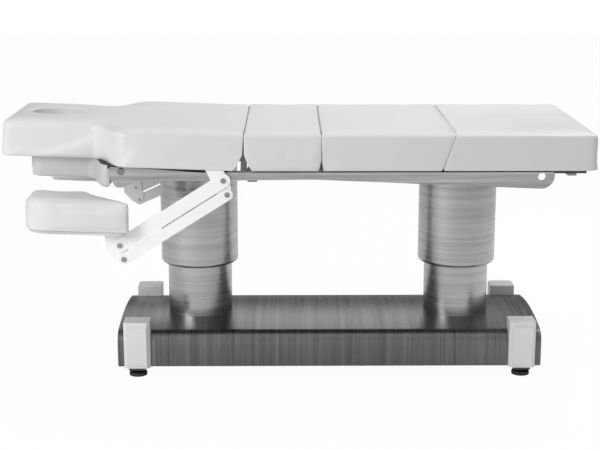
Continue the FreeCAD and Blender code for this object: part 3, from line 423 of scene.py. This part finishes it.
# Back, with the narrow head and the face opening
end = BACK_X - BACK_GAP
base = prism("back_pad", half_outline_back(end + SPARE), 2, LOW, TOP - SKIN)
profile = [(HEAD_X - 0.1, DEEP), (end - 0.034, DEEP), (end - 0.034, LOW), (end - 0.019, LOW + 0.020),
           (end - 0.002, LOW + 0.056)]
profile += upper_edge(end, -1) + [(HEAD_X - 0.1, HIGH)]
opening = prism("face", ellipse(FACE_X, FACE_RX, FACE_RY, 72), 2, LOW - 0.05, TOP + 0.05)


def face_ratio(p):
    """How far a point lies from the middle of the face opening. The rim is at 1."""
    return math.hypot((p.x - FACE_X) / FACE_RX, p.y / FACE_RY)


def face_hold(p):
    return min(1.0, max(0.1, (face_ratio(p) - 1.0) * 1.6))


def face_rim(p, n):
    return abs(face_ratio(p) - 1.0) * 0.080 if n.z > 0.5 else 1.0


pad("back_pad", "back", "back_cushion", base, seams=[EDGE_SEAM, stitched(end), (face_rim, 0.0070, 0.0022)],
    turn=TURN, pockets=hinge_pockets(BACK_X), cuts=[outline_cut(profile), (opening, "DIFFERENCE")],
    hold=face_hold)

# Seat
x0, x1 = BACK_X + BACK_GAP, LEG_X - SEAM_GAP
base = prism("seat_pad", rectangle(x0 - SPARE, x1 + SPARE, HALF_W - SKIN), 2, LOW, TOP - SKIN)
profile = [(x0 + 0.029, DEEP), (x0 + 0.029, LOW), (x0 + 0.016, LOW + 0.020), (x0 + 0.001, LOW + 0.056)]
profile += upper_edge(x0, 1) + upper_edge(x1, -1)[::-1]
profile += [(x1, LOW + 0.036), (x1 - 0.006, LOW + 0.013), (x1 - 0.011, LOW), (x1 - 0.011, DEEP)]
pad("seat_pad", "lift", "seat_cushion", base, seams=[EDGE_SEAM, stitched(x0), stitched(x1)],
    pockets=hinge_pockets(BACK_X) + hinge_pockets(LEG_X), cuts=[outline_cut(profile)])

# Leg
x0, x1 = LEG_X + SEAM_GAP, KNEE_X - SEAM_GAP
base = prism("leg_pad", rectangle(x0 - SPARE, x1 + SPARE, HALF_W - SKIN), 2, LOW, TOP - SKIN)
profile = [(x0 + 0.011, DEEP), (x0 + 0.011, LOW), (x0 + 0.006, LOW + 0.013), (x0, LOW + 0.036)]
profile += upper_edge(x0, 1) + [(x1 - BEVEL_X, HIGH), (x1 - BEVEL_X, TOP + BEVEL_OVER)]
profile += [(x1 - BEVEL_Z * SLANT, TOP - BEVEL_Z), (x1 - 0.115 * SLANT, LOW + 0.012),
            (x1 - PAD_T * SLANT - 0.005, LOW), (x1 - PAD_T * SLANT - 0.005, DEEP)]
pad("leg_pad", "leg", "leg_cushion", base, seams=[EDGE_SEAM, stitched(x0), stitched(x1, SLANT)],
    pockets=hinge_pockets(LEG_X), cuts=[outline_cut(profile)])

# Foot
x0, x1 = KNEE_X + SEAM_GAP, FOOT_X + OVER_FOOT
outline = rectangle(x0 - KNEE_RUN - SPARE, x1, HALF_W - SKIN, 0.004, 0.030)
base = prism("foot_pad", outline, 2, LOW, TOP - SKIN)
profile = [(x0 - PAD_T * SLANT + 0.005, DEEP), (x0 - PAD_T * SLANT + 0.005, LOW),
           (x0 - 0.115 * SLANT, LOW + 0.012), (x0 - BEVEL_Z * SLANT, TOP - BEVEL_Z),
           (x0 + BEVEL_X, TOP + BEVEL_OVER), (x0 + BEVEL_X, HIGH), (x1 + 0.1, HIGH), (x1 + 0.1, DEEP)]
pad("foot_pad", "foot", "foot_cushion", base, seams=[EDGE_SEAM, stitched(x0, SLANT)],
    cuts=[outline_cut(profile)])

# Armrests, built level and turned with the back
PIVOT_X = BACK_X - 0.065
PIVOT_Z = LOW - 0.0344
LINK_ANGLES = {"near": 34.3, "far": 26.6}
LINK_LENGTH = 0.4249
ARM_IN, ARM_OUT = 0.250, 0.440
ARM_LIFT = 0.055
ARM_T = 0.106
ARM_PAST_PIVOT = 0.050
ARM_LENGTH = 0.376
ARM_SLANT = 0.180


def rounded(points):
    """A closed outline with an arc at each (x, y, radius) corner."""
    result = []
    count = len(points)
    for i in range(count):
        x, y, r = points[i]
        p = Vector((x, y))
        a = (Vector(points[i - 1][:2]) - p).normalized()
        b = (Vector(points[(i + 1) % count][:2]) - p).normalized()
        half = a.angle(b) / 2
        centre = p + (a + b).normalized() * (r / math.sin(half))
        start = p + a * (r / math.tan(half)) - centre
        end_way = p + b * (r / math.tan(half)) - centre
        turn = start.angle_signed(end_way)
        for k in range(9):
            result.append(tuple(centre + Matrix.Rotation(-turn * k / 8, 2) @ start))
    return result


for side_name, side in SIDES.items():
    angle = math.radians(LINK_ANGLES[side_name])
    arm_bottom = PIVOT_Z - LINK_LENGTH * math.sin(angle) + ARM_LIFT
    arm_top = arm_bottom + ARM_T
    arm_x1 = PIVOT_X - LINK_LENGTH * math.cos(angle) + ARM_PAST_PIVOT
    arm_x0 = arm_x1 - ARM_LENGTH
    outline = rounded([(arm_x0 + SKIN, side * (ARM_IN + SKIN), 0.026),
                       (arm_x0 + SKIN, side * (ARM_OUT - SKIN), 0.072),
                       (arm_x1 - SKIN, side * (ARM_OUT - SKIN), 0.009),
                       (arm_x1 - ARM_SLANT - SKIN, side * (ARM_IN + SKIN), 0.030)])
    base = prism("arm_pad", outline, 2, arm_bottom, arm_top - SKIN)
    seam = (band(arm_top - 0.014), 0.0020, 0.0011)
    pad("arm_pad_" + side_name, "arm_rest_" + side_name, "arm_cushion_" + side_name, base, arm_bottom,
        ARM_VOXEL, [seam], TURN)

# Stage: a pale floor, soft lamps and the camera of the photograph
bm = bmesh.new()
bmesh.ops.create_grid(bm, x_segments=1, y_segments=1, size=14)
floor = mesh_object("floor", bm)
m, tree, shader = material("floor_paper", (0.86, 0.86, 0.86), 0.9)
white = tree.nodes.new("ShaderNodeEmission")
white.inputs["Color"].default_value = (1, 1, 1, 1)
path = tree.nodes.new("ShaderNodeLightPath")
mix = tree.nodes.new("ShaderNodeMixShader")
mix.inputs["Fac"].default_value = 0.0
out = tree.nodes["Material Output"]
share = tree.nodes.new("ShaderNodeMath")
share.operation = "MULTIPLY"
share.inputs[1].default_value = 0.96
tree.links.new(path.outputs["Is Camera Ray"], share.inputs[0])
tree.links.new(share.outputs[0], mix.inputs["Fac"])
tree.links.new(shader.outputs["BSDF"], mix.inputs[1])
tree.links.new(white.outputs["Emission"], mix.inputs[2])
tree.links.new(mix.outputs["Shader"], out.inputs["Surface"])
floor.data.materials.append(m)

world = bpy.data.worlds.new("studio")
bpy.context.scene.world = world
world.use_nodes = True
tree = world.node_tree
background = tree.nodes["Background"]
background.inputs["Strength"].default_value = 1.0
place = tree.nodes.new("ShaderNodeTexCoord")
split = tree.nodes.new("ShaderNodeSeparateXYZ")
tree.links.new(place.outputs["Generated"], split.inputs["Vector"])


def lobe(axis, start, full, power, gain):
    """Light from one side of the sky. It grows from the axis value start to the value full."""
    ramp = tree.nodes.new("ShaderNodeMapRange")
    ramp.inputs["From Min"].default_value = start
    ramp.inputs["From Max"].default_value = full
    tree.links.new(split.outputs[axis], ramp.inputs["Value"])
    curve = tree.nodes.new("ShaderNodeMath")
    curve.operation = "POWER"
    curve.inputs[1].default_value = power
    tree.links.new(ramp.outputs["Result"], curve.inputs[0])
    scale = tree.nodes.new("ShaderNodeMath")
    scale.operation = "MULTIPLY"
    scale.inputs[1].default_value = gain
    tree.links.new(curve.outputs[0], scale.inputs[0])
    return scale.outputs[0]


def total(a, b):
    node = tree.nodes.new("ShaderNodeMath")
    node.operation = "ADD"
    tree.links.new(a, node.inputs[0])
    tree.links.new(b, node.inputs[1])
    return node.outputs[0]


ambient = tree.nodes.new("ShaderNodeValue")
ambient.outputs[0].default_value = 0.12
sky = total(total(ambient.outputs[0], lobe("Z", 0.0, 1.0, 2.0, 0.80)), lobe("Y", -0.3, -1.0, 2.5, 0.55))
path = tree.nodes.new("ShaderNodeLightPath")
mix = tree.nodes.new("ShaderNodeMix")
mix.data_type = "FLOAT"
mix.inputs["B"].default_value = 1.0
tree.links.new(path.outputs["Is Camera Ray"], mix.inputs["Factor"])
tree.links.new(sky, mix.inputs["A"])
tree.links.new(mix.outputs["Result"], background.inputs["Color"])


def lamp(name, place, target, size, power):
    light = bpy.data.lights.new(name, "AREA")
    light.shape = "RECTANGLE"
    light.size, light.size_y = size
    light.energy = power
    obj = bpy.data.objects.new(name, light)
    obj.location = place
    way = Vector(target) - Vector(place)
    obj.rotation_euler = way.to_track_quat("-Z", "Y").to_euler()
    bpy.context.collection.objects.link(obj)


lamp("key", (-3.1, -3.1, 2.2), (-0.8, 0.0, 0.7), (1.8, 1.8), 96)
lamp("foot_top", (2.2, 1.0, 3.4), (0.8, 0.0, 0.8), (2.0, 2.0), 70)
lamp("rear", (0.0, 4.6, 3.0), (0.0, 0.0, 0.6), (3.0, 2.0), 22)

camera = bpy.data.cameras.new("camera")
camera.lens = 80.04
camera.sensor_width = 36.0
view = bpy.data.objects.new("camera", camera)
view.location = (-0.026, -4.855, 1.617)
view.rotation_euler = (math.radians(77.0), 0.0, math.radians(-0.47))
bpy.context.collection.objects.link(view)
bpy.context.scene.camera = view
bpy.context.scene.view_settings.view_transform = "Standard"
